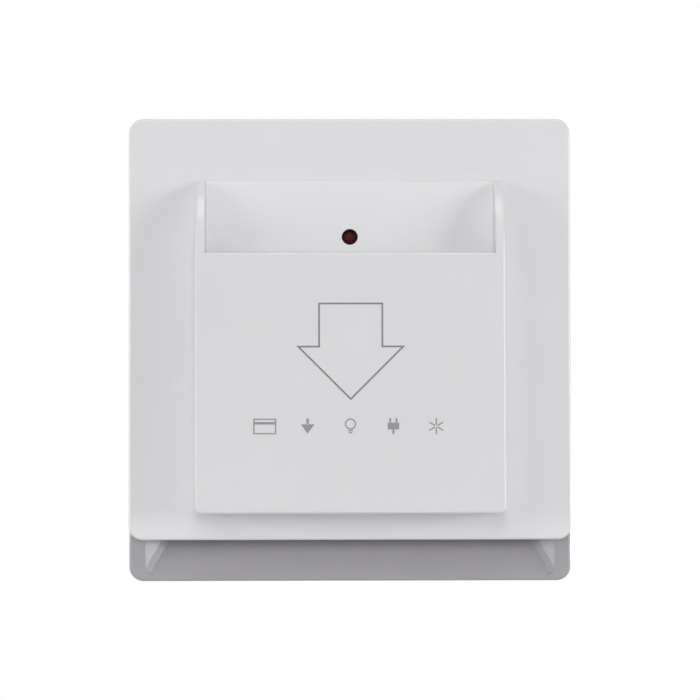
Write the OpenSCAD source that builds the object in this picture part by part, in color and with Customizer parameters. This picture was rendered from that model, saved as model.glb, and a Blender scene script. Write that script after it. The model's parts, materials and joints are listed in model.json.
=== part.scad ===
// Hotel key card switch for a single flush wall box.
// A white front with a card pocket plugs onto a grey base frame, and a rear housing
// behind the frame holds the sensing lever's switch, the timer board and the terminals.
// It hangs as it does on the wall: X to the right, Z up, the wall face at Y = 0, front towards -Y.

/* [Front plate] */
// Width of the front plate
plate_w = 86; // [82:0.5:92]
// Height of the front plate
plate_h = 82; // [80:0.5:88]
// How far the plate's front face stands off the wall
plate_front = 9.6; // [9:0.1:11]
// Thickness of the plate's front wall
plate_wall = 1.8; // [1.5:0.1:2.2]
// Thickness of the plate's skirt
skirt_wall = 1.8; // [1.5:0.1:2.2]
// Corner radius of the plate
plate_corner_r = 2.8; // [2.4:0.1:5]
// Rounding along the plate's front edge
plate_edge_r = 0.5; // [0.3:0.1:1.2]
// Diameter of the four plug pins that hold the front on the base
plug_d = 4; // [3:0.1:4.4]
// Length of the plug pins behind the plate's front wall
plug_len = 6.2; // [4:0.1:7]
// Diameter of the stakes that hold the pocket in the plate
stake_d = 2; // [1.4:0.1:2.2]

/* [Card pocket] */
// Width of the card, a standard key card
card_w = 53.98; // [50:0.01:55]
// Play between the card and each side wall
card_play = 1; // [0.5:0.01:1.2]
// Thickness of the pocket's side and bottom walls
pocket_wall = 1.8; // [1.4:0.1:2.2]
// Thickness of the pocket's front wall
pocket_front_wall = 1.9; // [1.5:0.1:2.4]
// How far the pocket's front face stands in front of the plate
pocket_rise = 9; // [8.8:0.1:10]
// Height of the slot's mouth above the screw line
slot_y = 18.1; // [17:0.1:20]
// Depth of the pocket's bottom edge below the screw line
pocket_drop = 31.9; // [31:0.1:32]
// Radius of the curved shoulders beside the mouth
shoulder_r = 16.6; // [14.6:0.1:16.8]
// Rounding along the pocket's front edges
pocket_edge_r = 0.5; // [0.3:0.1:0.8]
// Corner radius at the pocket's bottom corners
pocket_corner_r = 1.2; // [0.9:0.1:2]
// Gap of the slot between the front wall and the card guide
slot_gap = 4.5; // [4.3:0.1:4.8]
// Channel left for the card between the guide and the ribs
card_channel = 2.2; // [1.6:0.1:2.6]
// Width of the two card ribs
rib_w = 1.2; // [0.8:0.1:2]
// Distance of each card rib from the centre line
rib_x = 23.6; // [20:0.1:24]
// Thickness of the card guide
guide_wall = 1.8; // [1.4:0.1:2]
// How far the guide leans back at the top of the mouth
ramp_drop = 1.8; // [1:0.1:2]
// Diameter of the hole for the lamp
lamp_hole_d = 3.1; // [3.1:0.1:4]
// Side of the bosses that take the guide screws
guide_boss = 5; // [4.4:0.1:5.4]

/* [Base frame] */
// How far the base lies inside the plate's outline
base_margin = 0; // [0:0.1:0.8]
// Height of the lip that shows below the plate
lip_h = 8; // [7.6:0.1:9]
// Thickness of the base frame from the wall
base_front = 6.4; // [6:0.1:7]
// Rounding along the base's front edge
base_edge_r = 0.5; // [0.3:0.1:0.8]
// Width of the raised rim
rim_w = 7.6; // [7:0.1:8.2]
// Outer wall of the base
base_wall = 1.8; // [1.4:0.1:2.2]
// How far the panel's front face stands off the wall
panel_front = 4.4; // [4.2:0.1:4.6]
// Thickness of the panel
panel_wall = 2.2; // [1.8:0.1:2.4]
// Distance between the two wall screws
screw_spacing = 60.3; // [60:0.1:61]
// Width of the wall screw slots
screw_slot_d = 4.2; // [3.8:0.1:4.6]
// Length of the wall screw slots
screw_slot_len = 6.4; // [5:0.1:7]
// Depth of the pry scoop under the plate's lower edge
scoop_depth = 2.6; // [1.8:0.1:3]
// Half width of the scoop at the front face
scoop_half_w = 39.9; // [36:0.1:40]
// Half width of the scoop at its deepest
scoop_floor_half_w = 35.7; // [32:0.1:36.4]

/* [Rear housing] */
// Width of the rear housing
housing_w = 51; // [50.6:0.1:51.4]
// Height of the rear housing
housing_h = 57; // [56.6:0.1:58]
// Depth of the rear housing behind the wall face
housing_depth = 28.5; // [28.2:0.1:32]
// Wall of the rear housing
housing_wall = 1.8; // [1.5:0.1:1.9]
// Corner radius of the rear housing
housing_corner_r = 3; // [2:0.1:4]
// Radius of the screw pillars
pillar_r = 3; // [2.8:0.1:3.1]
// Diameter of the housing screws
housing_screw_d = 2.8; // [2.4:0.1:3]

/* [Board] */
// Thickness of the circuit board
board_t = 1.6; // [1.2:0.1:1.8]
// Depth of the board's front face behind the wall face
board_depth = 4.5; // [4.4:0.1:4.8]
// Height of the relay off the board
relay_h = 15.8; // [12:0.1:20]
// Diameter of the lamp's dome
lamp_d = 2.9; // [2.7:0.1:2.9]
// Distance of the lamp below the inside of the housing's top wall
lamp_room = 5; // [3.7:0.1:5.3]
// How deep the lamp's tip sits below the guide's face
lamp_recess = 0.4; // [0.1:0.1:1]

/* [Sensing lever] */
// Height of the lever's pivot above the screw line
pivot_y = 5; // [4.8:0.1:5.4]
// Distance of the lever's pivot from the wall
pivot_z = 7.5; // [7.4:0.1:7.6]
// Diameter of the pivot pin
pin_d = 2; // [1.6:0.1:2]
// How far the lever's nose reaches into the slot
nose_reach = 3; // [2.4:0.1:3.2]
// Width of the bay between the lever's two ears
lever_bay = 6.6; // [6.4:0.1:7]
// Thickness of the lever's ears
ear_t = 2; // [1.6:0.1:2.4]
// Wire diameter of the lever's return spring
spring_wire = 0.32; // [0.2:0.01:0.34]
// Full turns of the return spring
spring_turns = 3; // [2:1:3]

/* [Terminals] */
// Distance between neighbouring terminals
pole_pitch = 10; // [9.8:0.1:10.4]
// Depth of the terminal block from the board
block_depth = 21.6; // [21.4:0.1:21.9]
// Diameter of the terminal screws
clamp_screw_d = 3; // [2.6:0.1:3.2]
// Outer width of each clamp cage
cage_w = 6.8; // [6.4:0.1:6.8]
// How far a cage rises when its screw is done up
cage_travel = 2.8; // [2:0.1:2.9]

/* [Hidden] */
$fn = 48;
eps = 0.01;                       // overlap of a cutter past the face it cuts
fit_gap = 0.1;                    // gap between parts that are fitted together
seam_gap = 0.005;                 // gap at the seams that show on the front
run_gap = 0.05;                   // radial gap of a pin that turns or slides in its bore
free_gap = 0.3;                   // gap to a part that moves or to loose components

// Levels in front of the wall face, measured towards the viewer
plate_back = plate_front - plate_wall;
skirt_back = base_front + fit_gap;
panel_back = panel_front - panel_wall;
pocket_front = plate_front + pocket_rise;
pocket_inner = pocket_front - pocket_front_wall;
guide_face = pocket_inner - slot_gap;
guide_back = guide_face - guide_wall;
ramp_top = guide_face - ramp_drop;
flange_t = 1.3;
flange_front = plate_back - fit_gap;
flange_back = flange_front - flange_t;
stake_head_t = 0.8;
stake_head_grow = 0.7;

// Heights, measured from the screw line
base_h = plate_h + lip_h - base_margin;
base_w = plate_w - 2 * base_margin;
base_top = base_h / 2;
base_bottom = -base_top;
base_corner_r = plate_corner_r - base_margin;
plate_top = base_top + base_margin;
plate_bottom = plate_top - plate_h;
plate_y = (plate_top + plate_bottom) / 2;

// Card pocket
inner_w = card_w + 2 * card_play;
pocket_w = inner_w + 2 * pocket_wall;
pocket_bottom = -pocket_drop;
pocket_floor = pocket_bottom + pocket_wall;
shoulder_z = pocket_front - shoulder_r;
shoulder_end = slot_y + sqrt(pow(shoulder_r, 2) - pow(plate_front - shoulder_z, 2));
flange_side = 3.2;
flange_end = 1.6;
mouth_chamfer = 0.8;
mouth_edge_r = 0.4;
rib_lead = 1.5;
ramp_lead = 1;
ramp_start = slot_y - ramp_lead;
crossbar_h = 2.8;
crossbar_front = ramp_top - guide_wall - 2 * fit_gap;
stake_x = pocket_w / 2 + flange_side / 2 + fit_gap;
stake_y = 22;
guide_screw_x = inner_w / 2 - guide_boss / 2;
guide_screw_y = pocket_floor + guide_boss / 2;
guide_screw_d = 2;
guide_screw_len = 5;
guide_clear = seam_gap;
hook_x = 15;
hook_w = 6;
hook_t = 1.5;
hook_lip = 1.8;
hook_lip_t = 1.2;

// Base frame
rail_top = pocket_bottom - flange_end - free_gap - fit_gap;
recess_half_w = base_w / 2 - rim_w;
recess_top = base_top - rim_w;
plug_x = plate_w / 2 - skirt_wall - plug_d / 2 - 2 * fit_gap;
plug_inset = 9;
plug_ys = [plate_top - plug_inset, plate_bottom + plug_inset];
plug_bore_r = plug_d / 2 + run_gap;
plug_socket_wall = 1.5;
skirt_rest = 0.65;
scoop_top = plate_bottom + skirt_wall - skirt_rest;
scoop_end = base_bottom + base_edge_r;
scoop_corner_r = 2.8;
scoop_blend_t = 0.16;             // height of the strip above the corner it fills
scoop_blend_lean = 0.75;          // how far the strip leans from the floor to the slanted end
screw_seat = 2.6;
screw_head_r = 3.8;
screw_boss_half_w = 4.2;
screw_boss_half_h = 5;

// Rear housing and board
housing_front = panel_back - fit_gap;
housing_inner_w = housing_w - 2 * housing_wall;
housing_inner_h = housing_h - 2 * housing_wall;
board_w = housing_inner_w - 2 * free_gap;
board_h = housing_inner_h - 2 * free_gap;
board_corner_r = 1.5;
board_front = -board_depth;
board_rear = board_front - board_t;
pillar_bite = 0.1;
pillar_x = housing_inner_w / 2 - pillar_r + pillar_bite;
pillar_y = housing_inner_h / 2 - pillar_r + pillar_bite;
housing_pilot_r = housing_screw_d / 2 + run_gap;
housing_clear_r = housing_screw_d / 2 + free_gap;
housing_head_r = housing_screw_d * 0.96;
housing_head_t = 1.9;
housing_head_well = 2.4;
screw_tip_gap = 0.4;
screw_tip_wall = 1.2;
housing_screw_tip = panel_front - screw_tip_wall - screw_tip_gap;

// Sensing lever, with heights and levels as seen from the side
pin_r = pin_d / 2;
hub_wall = 1;
hub_r = pin_r + hub_wall;
lever_reach = 12;
nose_y = pivot_y - lever_reach;
nose_tip_r = 0.8;
nose_tip = guide_face + nose_reach;
nose_half_w = 2.4;
arm_half_w = lever_bay / 2 - 2 * fit_gap;
hub_right = 0.4;
arm_drop = 2.4;
arm_depth = 1.2;
arm_gap = 0.6;
arm_step = 0.6;
arm_top = pivot_y - arm_drop;
arm_rear = pivot_z - arm_depth;
arm_front = guide_back - arm_gap;
finger_reach = 4.4;
finger_y = pivot_y - finger_reach;
finger_half_h = 1.2;
finger_half_w = 1.5;
tail_len = 4.5;
tail_end = pivot_y + tail_len;
tail_t = 2;
window_half_w = lever_bay / 2 + free_gap;
window_rise = 1;
window_fall = 6;
window_top = pivot_y - window_rise;
window_bottom = nose_y - window_fall;
guide_window_side = 0.8;
guide_window_rise = 6.9;
guide_window_fall = 5.6;
guide_window_half_w = nose_half_w + guide_window_side;
guide_window_top = nose_y + guide_window_rise;
guide_window_bottom = nose_y - guide_window_fall;
nose_heel = 2;
finger_heel = 2.4;
arm_thick = 1;

// Detector switch under the lever's finger
switch_w = 12.8;
switch_h = 5.8;
switch_rise = 6.4;
switch_corner_r = 0.4;
switch_well = 2.6;
plunger_r = 1;
plunger_gap = 0.15;
plunger_stroke = 1.3;
plunger_sink = 1.2;
plunger_top = panel_front - plunger_sink;
finger_end = plunger_top + plunger_gap;
switch_top = board_front + switch_rise;
switch_leg_pitch = 5;

// Return spring
spring_play = 0.24;
spring_r = pin_r + spring_play + run_gap + spring_wire / 2;
spring_pitch = 0.75;
spring_sides = 6;
spring_rings = 8;
spring_left = hub_right + 2 * fit_gap + spring_wire / 2;
spring_tail = [2, 4.1];
spring_reach = 6;

// Lamp on its spacer
lamp_y = housing_h / 2 - housing_wall - lamp_room;
lamp_face = guide_face - (lamp_y - ramp_start) / (shoulder_end - ramp_start) * ramp_drop;
lamp_tip = lamp_face - lamp_recess;
lamp_len = 5.3;
lamp_foot = lamp_tip - lamp_len;
lamp_flange_w = 0.4;
lamp_flange_r = lamp_d / 2 + lamp_flange_w;
lamp_flange_t = 1;
spacer_r = 2.2;
spacer_bore_r = 1.75;
lamp_leg_x = 1.27;
lamp_leg_r = 0.25;

// Terminals, with depths measured back from the board
block_end = 6;
block_w = 2 * pole_pitch + 2 * block_end;
block_front_wall = 1.6;
block_inset = 0.8;
block_y0 = block_inset - housing_h / 2;
sill = 2.4;
cage_h = 6.8;
cage_wall = 0.9;
cage_gap = 0.2;
clamp_y = block_y0 + block_front_wall + cage_gap + cage_h / 2;
cage_back_y = clamp_y + cage_h / 2 + cage_gap;
block_back_wall = 3.4;
block_y1 = cage_back_y + block_back_wall;
clamp_head_grow = 1.1;
clamp_head_r = clamp_screw_d / 2 + clamp_head_grow;
clamp_head_t = 1.8;
clamp_shelf_t = 1.2;
shelf_depth = block_depth - clamp_head_t - clamp_shelf_t;
cage_plate = 2;
cage_floor_t = 1.2;
cage_top_depth = shelf_depth - cage_travel - cage_gap;
bar_t = 1;
bar_depth = cage_top_depth - cage_plate - 2 * cage_gap;
bar_half_w = 2.3;
wire_gap = 5.4;
cage_bottom_depth = bar_depth - bar_t - wire_gap - cage_floor_t;
wire_half_w = 2.6;
bar_reach = 1.4;
bar_leg_y = cage_back_y + bar_reach;
lead_past_board = 1.4;
poles = [-1, 0, 1];

// Components on the board's rear face: [x, y] of the centres, and sizes
relay_size = [29, 12.8];
relay_at = [-5.4, 11];
relay_coil_x = 12.5;
relay_contact_xs = [2.6, 7.6];
relay_pin_y = 3.7;
film_cap_size = [8, 18, 14];
film_cap_at = [board_w / 2 - 7, 9.4];
film_cap_lead_y = 7.5;
can_r = 4;
can_h = 12;
can_at = [board_w / 2 - 6, block_y1 + 8.6];
can_lead_x = 1.75;
disc_r = 5;
disc_t = 4;
disc_foot = 0.8;
disc_lead_y = 2.5;
resistor_r = 1.2;
resistor_len = 6.5;
resistor_rows = [block_y1 + 9.5, block_y1 + 5.9];
resistor_x = 6.4 - board_w / 2;
diode_r = 1.3;
diode_len = 5;
diode_step = 3.4;
diode_xs = [for (i = [0 : 3]) resistor_x + resistor_len + i * diode_step];
diode_y = block_y1 + 6.1;
disc_at = [diode_xs[3] + 3.8, block_y1 + 5.6];
transistor_r = 2.3;
transistor_at = [board_w / 2 - 3.8, block_y1 + 2.8];
transistor_foot = 1.5;
transistor_h = 4.6;
transistor_flat = 0.55;
chip_size = [5, 4, 1.5];
chip_at = [-12, 6];
chip_leg_pitch = 1.27;
lead_r = 0.35;
lead_hole_r = lead_r + fit_gap;
disc_lead_rise = disc_foot + disc_r - sqrt(pow(disc_r, 2) - pow(disc_lead_y - lead_r, 2)) - fit_gap;
lead_bend = 1;
lead_waist = 0.8;
relay_pin_r = 0.6;

// Shared shapes

// Stands a part drawn face up (x right, y up, z towards the viewer) against the wall
module on_wall() {
    rotate([90, 0, 0]) children();
}

// Rectangle about the centre with round corners
module round_rect(w, h, r) {
    square([w - 2 * r, h], center = true);
    square([w, h - 2 * r], center = true);
    for (sx = [-1, 1], sy = [-1, 1])
        translate([sx * (w / 2 - r), sy * (h / 2 - r)]) circle(r);
}

// Section of a slab whose two upper edges are rounded
module edge_profile(half, t, f) {
    translate([-half, 0]) square([2 * half, t - f]);
    translate([f - half, 0]) square([2 * (half - f), t]);
    for (s = [-1, 1]) translate([s * (half - f), t - f]) circle(f);
}

// Slab with round corners and a rounded front edge, standing on z = 0
module soft_slab(w, h, t, r, f) {
    translate([0, h / 2 - r, 0]) rotate([90, 0, 0])
        linear_extrude(h - 2 * r) edge_profile(w / 2, t, f);
    translate([r - w / 2, 0, 0]) rotate([90, 0, 90])
        linear_extrude(w - 2 * r) edge_profile(h / 2, t, f);
    for (sx = [-1, 1], sy = [-1, 1])
        translate([sx * (w / 2 - r), sy * (h / 2 - r), 0])
            rotate_extrude() intersection() {
                edge_profile(r, t, f);
                square([r, t]);
            }
}

// Box given by its two corners
module block(low, high) {
    translate(low) cube(high - low);
}

// Profile drawn in (y, z), as seen from the right, drawn out from x0 to x1
module side_profile(x0, x1) {
    translate([x0, 0, 0]) rotate([90, 0, 90]) linear_extrude(x1 - x0) children();
}

// Slot through the panel: a long hole along x
module long_hole(len, d, t) {
    for (s = [-1, 1]) translate([s * (len - d) / 2, 0, 0]) cylinder(h = t, d = d);
    translate([-(len - d) / 2, -d / 2, 0]) cube([len - d, d, t]);
}

// Pan-head screw along -z: the head stands on z = 0 and the shank runs down
module pan_screw(d, len, head_r, head_t) {
    cross_w = head_r / 3.4;
    difference() {
        union() {
            translate([0, 0, -len]) cylinder(h = len, d = d);
            cylinder(h = head_t * 0.6, r = head_r);
            translate([0, 0, head_t * 0.6]) cylinder(h = head_t * 0.4, r1 = head_r, r2 = head_r * 0.72);
        }
        for (a = [0, 90]) rotate([0, 0, a])
            translate([-head_r * 0.6, -cross_w / 2, head_t * 0.35]) cube([head_r * 1.2, cross_w, head_t]);
    }
}

// Round wire through the points, as one closed solid of flat-sided rings
module wire(points, d, sides) {
    count = len(points);
    function along(i) = let (v = points[min(i + 1, count - 1)] - points[max(i - 1, 0)]) v / norm(v);
    function across(t) = let (v = cross(t, abs(t[0]) < 0.9 ? [1, 0, 0] : [0, 1, 0])) v / norm(v);
    rings = [for (i = [0 : count - 1])
        let (t = along(i), u = across(t), w = cross(t, u))
        for (k = [0 : sides - 1])
            points[i] + d / 2 * (cos(360 * k / sides) * u + sin(360 * k / sides) * w)];
    walls = [for (i = [0 : count - 2], k = [0 : sides - 1])
        let (a = i * sides + k, b = i * sides + (k + 1) % sides)
        each [[a, b, b + sides], [a, b + sides, a + sides]]];
    ends = [for (k = [1 : sides - 2])
        each [[0, k + 1, k], [(count - 1) * sides, (count - 1) * sides + k, (count - 1) * sides + k + 1]]];
    polyhedron(points = rings, faces = [for (f = concat(walls, ends)) [f[2], f[1], f[0]]]);
}

// Front: plate, card pocket, card guide

module plug_pin() {
    slit = 0.7;
    tip = 0.6;
    difference() {
        union() {
            translate([0, 0, -plug_len + tip]) cylinder(h = plug_len - tip, d = plug_d);
            translate([0, 0, -plug_len]) cylinder(h = tip, d1 = plug_d - 2 * tip, d2 = plug_d);
        }
        translate([-slit / 2, -plug_d, -plug_len - eps]) cube([slit, 2 * plug_d, plug_len * 0.6]);
    }
}

module stake() {
    stake_len = plate_back - flange_back;
    translate([0, 0, -stake_len]) cylinder(h = stake_len, d = stake_d);
    translate([0, 0, -stake_len - stake_head_t])
        cylinder(h = stake_head_t, r = stake_d / 2 + stake_head_grow);
}

module front_plate() {
    depth = plate_front - skirt_back;
    color("whitesmoke") on_wall() {
        difference() {
            translate([0, plate_y, skirt_back])
                soft_slab(plate_w, plate_h, depth, plate_corner_r, plate_edge_r);
            translate([0, plate_y, skirt_back - eps]) linear_extrude(plate_back - skirt_back + eps)
                round_rect(plate_w - 2 * skirt_wall, plate_h - 2 * skirt_wall,
                           plate_corner_r - skirt_wall / 2);
            block([-pocket_w / 2 - seam_gap, pocket_bottom - seam_gap, skirt_back],
                  [pocket_w / 2 + seam_gap, shoulder_end + seam_gap, plate_front + eps]);
        }
        for (sx = [-1, 1], y = plug_ys) translate([sx * plug_x, y, plate_back]) plug_pin();
        for (sx = [-1, 1], sy = [-1, 1]) translate([sx * stake_x, sy * stake_y, plate_back]) stake();
    }
}

// Outside of the pocket: a square foot in the plate, a straight part below the mouth
// and curved shoulders above it
module pocket_outside() {
    slab_h = slot_y - pocket_bottom + 2 * pocket_corner_r;
    intersection() {
        translate([0, pocket_bottom + slab_h / 2, flange_back])
            soft_slab(pocket_w, slab_h, pocket_front - flange_back, pocket_corner_r, pocket_edge_r);
        block([-pocket_w, pocket_bottom - 1, flange_back - 1], [pocket_w, slot_y, pocket_front + 1]);
    }
    intersection() {
        translate([0, slot_y, shoulder_z]) rotate([0, 90, 0])
            rotate_extrude($fn = 96) rotate(-90) edge_profile(pocket_w / 2, shoulder_r, pocket_edge_r);
        block([-pocket_w, slot_y, plate_front], [pocket_w, shoulder_end + 1, pocket_front + 1]);
    }
    block([-pocket_w / 2, pocket_bottom, flange_back], [pocket_w / 2, shoulder_end, plate_front]);
}

module card_rib() {
    rib_back = guide_face + card_channel;
    side_profile(-rib_w / 2, rib_w / 2) polygon([
        [pocket_floor - eps, rib_back],
        [slot_y - 2 * rib_lead - (pocket_inner - rib_back), rib_back],
        [slot_y - 2 * rib_lead, pocket_inner + eps],
        [pocket_floor - eps, pocket_inner + eps]
    ]);
}

module card_pocket() {
    flange_low = pocket_bottom - flange_end;
    flange_high = shoulder_end + flange_end;
    color("whitesmoke") on_wall() {
        difference() {
            union() {
                pocket_outside();
                block([-pocket_w / 2 - flange_side, flange_low, flange_back],
                      [pocket_w / 2 + flange_side, flange_high, flange_front]);
            }
            block([-inner_w / 2, pocket_floor, flange_back - 1],
                  [inner_w / 2, slot_y + eps, pocket_inner]);
            block([-inner_w / 2, slot_y, flange_back - 1],
                  [inner_w / 2, flange_high + 1, pocket_front + 1]);
            side_profile(-inner_w / 2, inner_w / 2) polygon([
                [slot_y - mouth_chamfer, pocket_inner - eps],
                [slot_y + eps, pocket_inner - eps],
                [slot_y + eps, pocket_inner + mouth_chamfer]
            ]);
            side_profile(-inner_w / 2, inner_w / 2) difference() {
                translate([slot_y - mouth_edge_r, pocket_front - mouth_edge_r]) square(2 * mouth_edge_r);
                translate([slot_y - mouth_edge_r, pocket_front - mouth_edge_r]) circle(mouth_edge_r);
            }
            for (sx = [-1, 1], sy = [-1, 1])
                translate([sx * stake_x, sy * stake_y, flange_back - eps])
                    cylinder(h = flange_t + 2 * eps, r = stake_d / 2 + run_gap);
        }
        for (sx = [-1, 1]) translate([sx * rib_x, 0, 0]) card_rib();
        block([-inner_w / 2 - eps, shoulder_end - crossbar_h, flange_back],
              [inner_w / 2 + eps, shoulder_end, crossbar_front]);
        for (sx = [-1, 1]) difference() {
            translate([sx * guide_screw_x, 0, 0])
                block([-guide_boss / 2 - eps, pocket_floor - eps, guide_face],
                      [guide_boss / 2 + eps, pocket_floor + guide_boss, pocket_inner + eps]);
            translate([sx * guide_screw_x, guide_screw_y, guide_face - eps])
                cylinder(h = guide_screw_len - guide_wall + screw_tip_gap,
                         r = guide_screw_d / 2 + run_gap);
        }
    }
}

module guide_section() {
    polygon([
        [pocket_floor + guide_clear, guide_back],
        [ramp_start, guide_back],
        [shoulder_end, ramp_top - guide_wall],
        [shoulder_end, ramp_top],
        [ramp_start, guide_face],
        [pocket_floor + guide_clear, guide_face]
    ]);
}

module guide_hook() {
    hook_y = shoulder_end - crossbar_h - 2 * fit_gap;
    lip_z = flange_back - 2 * fit_gap;
    side_profile(-hook_w / 2, hook_w / 2) polygon([
        [hook_y - hook_t, lip_z - hook_lip_t],
        [hook_y + hook_lip, lip_z - hook_lip_t],
        [hook_y + hook_lip, lip_z],
        [hook_y, lip_z],
        [hook_y, guide_back],
        [hook_y - hook_t, guide_back]
    ]);
}

module card_guide() {
    half_w = inner_w / 2 - guide_clear;
    color("white") on_wall() difference() {
        union() {
            intersection() {
                side_profile(-half_w, half_w) guide_section();
                translate([0, slot_y, shoulder_z]) rotate([0, 90, 0])
                    cylinder(h = inner_w, r = shoulder_r, center = true, $fn = 96);
            }
            side_profile(-half_w, half_w) polygon([
                [pocket_floor + guide_clear, guide_back],
                [slot_y, guide_back],
                [slot_y, guide_face - (slot_y - ramp_start) / (shoulder_end - ramp_start) * ramp_drop],
                [ramp_start, guide_face],
                [pocket_floor + guide_clear, guide_face]
            ]);
            for (sx = [-1, 1]) translate([sx * hook_x, 0, 0]) guide_hook();
        }
        block([-guide_window_half_w, guide_window_bottom, guide_back - 1],
              [guide_window_half_w, guide_window_top, guide_face + 1]);
        translate([0, lamp_y, guide_back - guide_wall]) cylinder(h = 3 * guide_wall, d = lamp_hole_d);
        for (sx = [-1, 1]) translate([sx * guide_screw_x, guide_screw_y, guide_back - eps])
            cylinder(h = guide_wall + 2 * eps, r = guide_screw_d / 2 + fit_gap);
    }
}

module guide_screws() {
    color("silver") on_wall() for (sx = [-1, 1])
        translate([sx * guide_screw_x, guide_screw_y, guide_back]) rotate([180, 0, 0])
            pan_screw(guide_screw_d, guide_screw_len, guide_screw_d * 0.95, 1.4);
}

// Base frame

// Solid that stays along the corner between the scoop's floor and one slanted end
module scoop_blend(sx) {
    corner = [sx * scoop_floor_half_w, plate_bottom, base_front - scoop_depth];
    run = [sx * scoop_half_w, scoop_end, base_front] - corner;
    along = run / norm(run);
    floor_out = [0, run[2], -run[1]];
    end_out = [-sx * run[2], 0, abs(run[0])];
    between = (1 - scoop_blend_lean) * floor_out / norm(floor_out)
        + scoop_blend_lean * end_out / norm(end_out);
    out = between / norm(between);
    across = cross(out, along);
    reach = norm(run);
    multmatrix([for (i = [0 : 2]) [along[i], across[i], out[i], corner[i]]])
        block([-reach, -reach, -reach], [2 * reach, reach, scoop_blend_t]);
}

// Space of the pry scoop: a floor that runs out at the lip, between slanted ends
module scoop() {
    deep = base_front - scoop_depth;
    over = 2;
    slant = (scoop_half_w - scoop_floor_half_w) / scoop_depth;
    outline_h = 4 * lip_h;
    difference() {
        intersection() {
            side_profile(-base_w, base_w) polygon([
                [scoop_end, base_front],
                [scoop_end, base_front + over],
                [scoop_top, base_front + over],
                [scoop_top, deep],
                [plate_bottom, deep]
            ]);
            translate([0, scoop_end + outline_h / 2, 0]) linear_extrude(base_front + 2 * over)
                round_rect(2 * scoop_half_w, outline_h, scoop_corner_r);
            translate([0, base_top, 0]) rotate([90, 0, 0]) linear_extrude(base_h) polygon([
                [-scoop_floor_half_w, deep],
                [scoop_floor_half_w, deep],
                [scoop_half_w + over * slant, base_front + over],
                [-scoop_half_w - over * slant, base_front + over]
            ]);
        }
        for (sx = [-1, 1]) scoop_blend(sx);
    }
}

module lever_ear() {
    ear_half_h = hub_r + 0.2;
    side_profile(0, ear_t) difference() {
        union() {
            translate([pivot_y, pivot_z]) circle(ear_half_h);
            translate([pivot_y - ear_half_h, panel_front - eps])
                square([2 * ear_half_h, pivot_z - panel_front + eps]);
        }
        translate([pivot_y, pivot_z]) circle(pin_r + run_gap / 2);
    }
}

module base_frame() {
    recess_h = recess_top - rail_top;
    recess_y = (recess_top + rail_top) / 2;
    hollow_top = base_top - base_wall;
    hollow_y = (hollow_top + rail_top) / 2;
    socket_r = plug_bore_r + plug_socket_wall;
    color("gray") on_wall() {
        difference() {
            union() {
                difference() {
                    soft_slab(base_w, base_h, base_front, base_corner_r, base_edge_r);
                    translate([0, recess_y, panel_front]) linear_extrude(base_front)
                        round_rect(2 * recess_half_w, recess_h, base_wall);
                    translate([0, hollow_y, -eps]) linear_extrude(panel_back + eps)
                        round_rect(base_w - 2 * base_wall, hollow_top - rail_top, base_wall);
                    scoop();
                }
                for (sx = [-1, 1], y = plug_ys) translate([sx * plug_x, y, 0])
                    cylinder(h = base_front - base_edge_r, r = socket_r);
                for (sx = [-1, 1])
                    block([sx * screw_spacing / 2 - screw_boss_half_w, -screw_boss_half_h, 0],
                          [sx * screw_spacing / 2 + screw_boss_half_w, screw_boss_half_h, panel_front]);
                for (sx = [-1, 1], sy = [-1, 1]) translate([sx * pillar_x, sy * pillar_y, board_front])
                    cylinder(h = panel_back - board_front + eps, r = pillar_r - free_gap);
                for (x = [lever_bay / 2, -lever_bay / 2 - ear_t]) translate([x, 0, 0]) lever_ear();
            }
            for (sx = [-1, 1], y = plug_ys) translate([sx * plug_x, y, -1])
                cylinder(h = base_front + 2, r = plug_bore_r);
            for (sx = [-1, 1]) translate([sx * screw_spacing / 2, 0, 0]) {
                translate([0, 0, -1]) long_hole(screw_slot_len, screw_slot_d, panel_front + 2);
                translate([0, 0, screw_seat])
                    long_hole(2 * screw_head_r + screw_slot_len - screw_slot_d, 2 * screw_head_r,
                              panel_front);
            }
            for (sx = [-1, 1], sy = [-1, 1]) translate([sx * pillar_x, sy * pillar_y, board_front - eps])
                cylinder(h = housing_screw_tip + screw_tip_gap - board_front, r = housing_pilot_r);
            block([-window_half_w, window_bottom, -1], [window_half_w, window_top, panel_front + 0.5]);
            translate([0, lamp_y, -1]) cylinder(h = panel_front + 2, r = spacer_r + free_gap);
        }
    }
}

// Rear housing and its screws

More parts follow.
